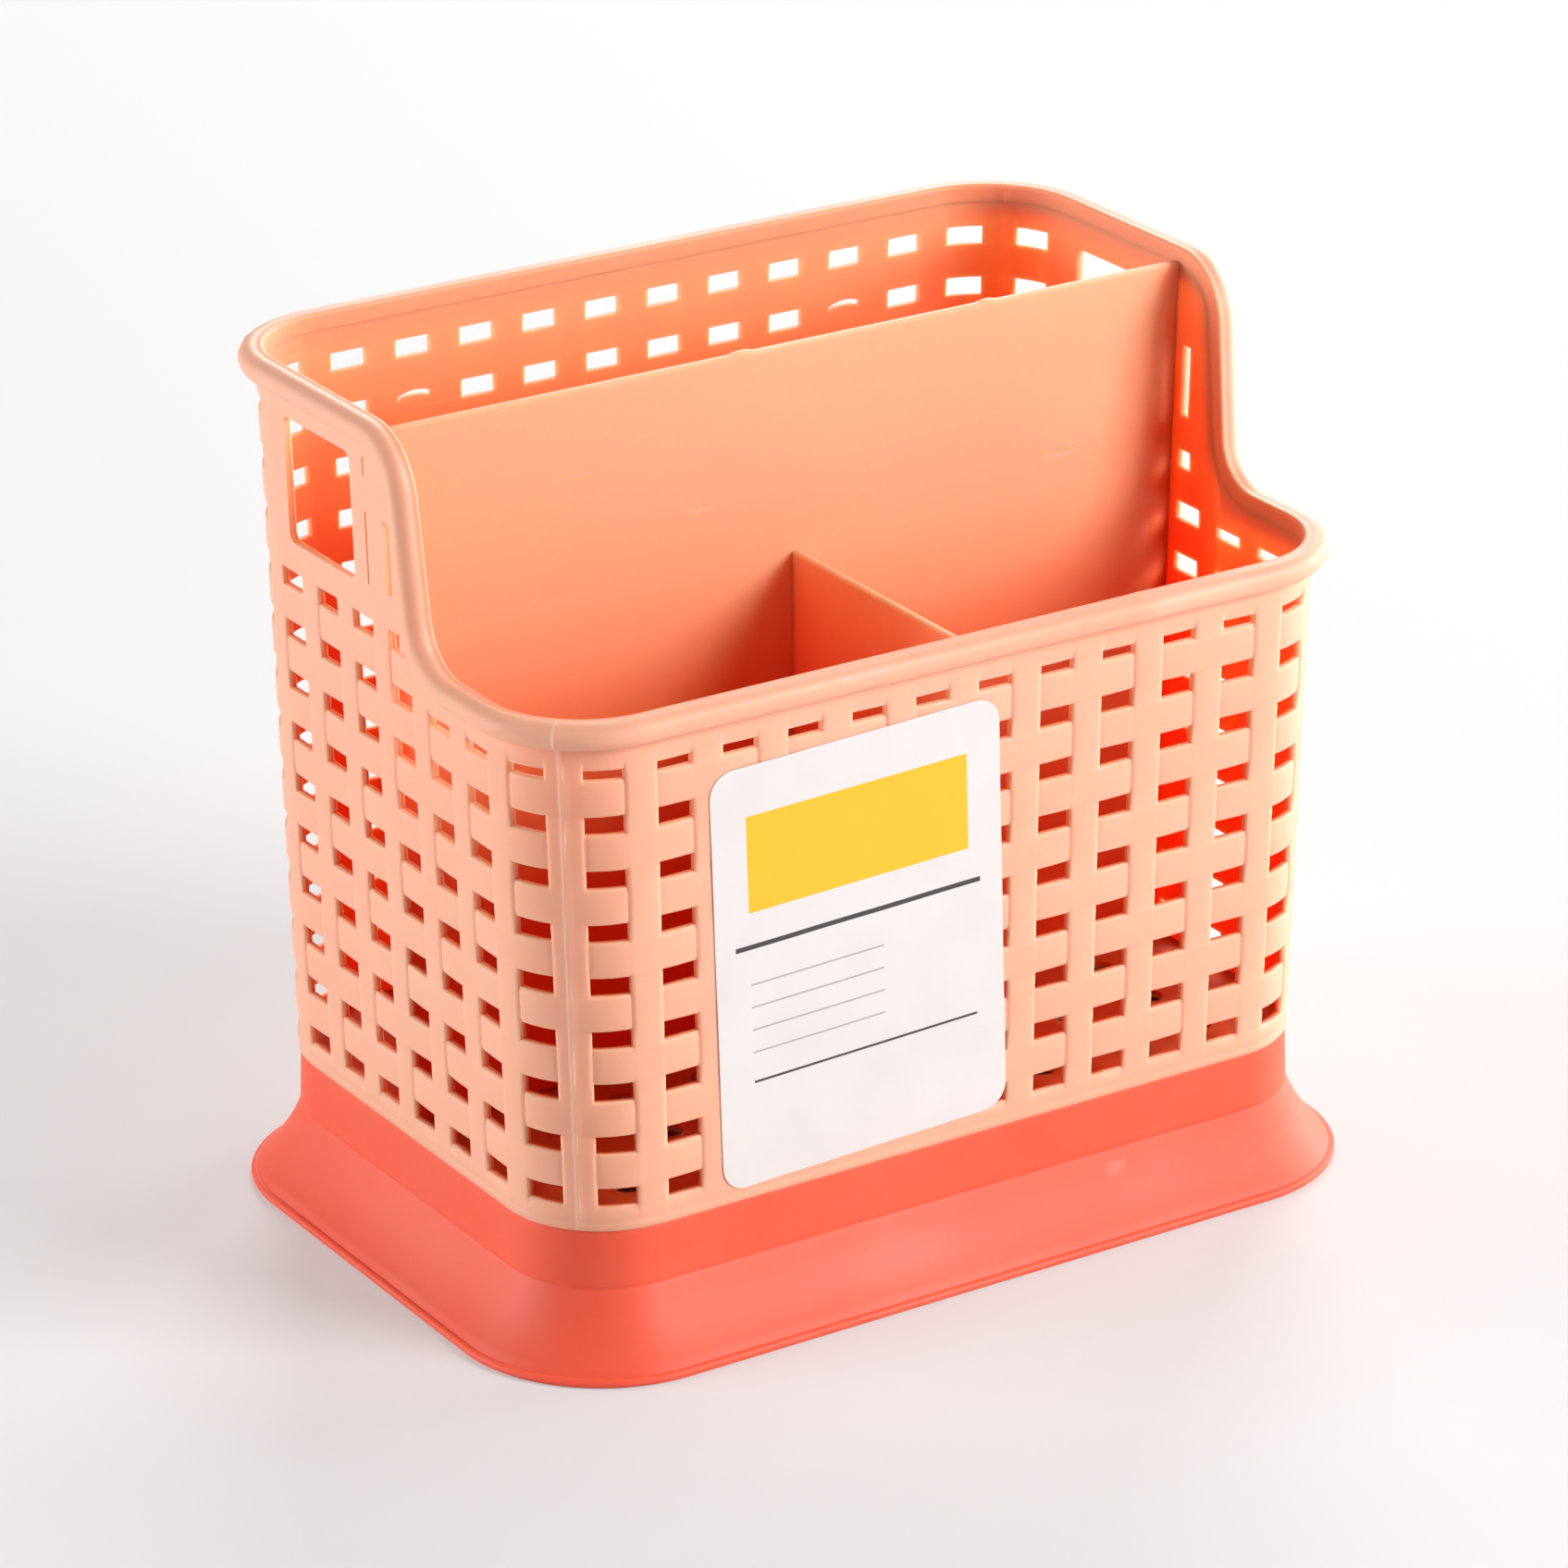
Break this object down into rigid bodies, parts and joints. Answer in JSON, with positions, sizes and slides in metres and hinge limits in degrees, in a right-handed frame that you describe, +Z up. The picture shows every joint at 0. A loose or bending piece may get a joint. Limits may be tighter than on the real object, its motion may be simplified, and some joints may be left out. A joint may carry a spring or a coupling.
{
  "type": "chopstick holder",
  "caption": "Moulded-weave plastic basket for chopsticks and cutlery with a stepped rim, divided compartments and hand windows, standing in a flared drip tray.",
  "frame": {"origin": "under the middle of the drip tray, on the surface that it stands on", "axes": "+X along the long side, +Y towards the tall back wall, +Z up"},
  "size_m": [0.157, 0.11, 0.139],
  "materials": {
    "peach_plastic": "satin translucent polypropylene",
    "coral_plastic": "satin translucent polypropylene",
    "label_paper": "smooth coated paper"
  },
  "bodies": {
    "tray": {"drip_tray": "coral_plastic"},
    "basket": {"basket": "peach_plastic", "long_divider": "peach_plastic", "cross_divider": "peach_plastic", "front_label": "label_paper"}
  },
  "joints": [
    {"name": "basket_lift", "type": "slide", "parent": "tray", "child": "basket", "axis": [0, 0, 1], "range_m": [0, 0.05]}
  ]
}
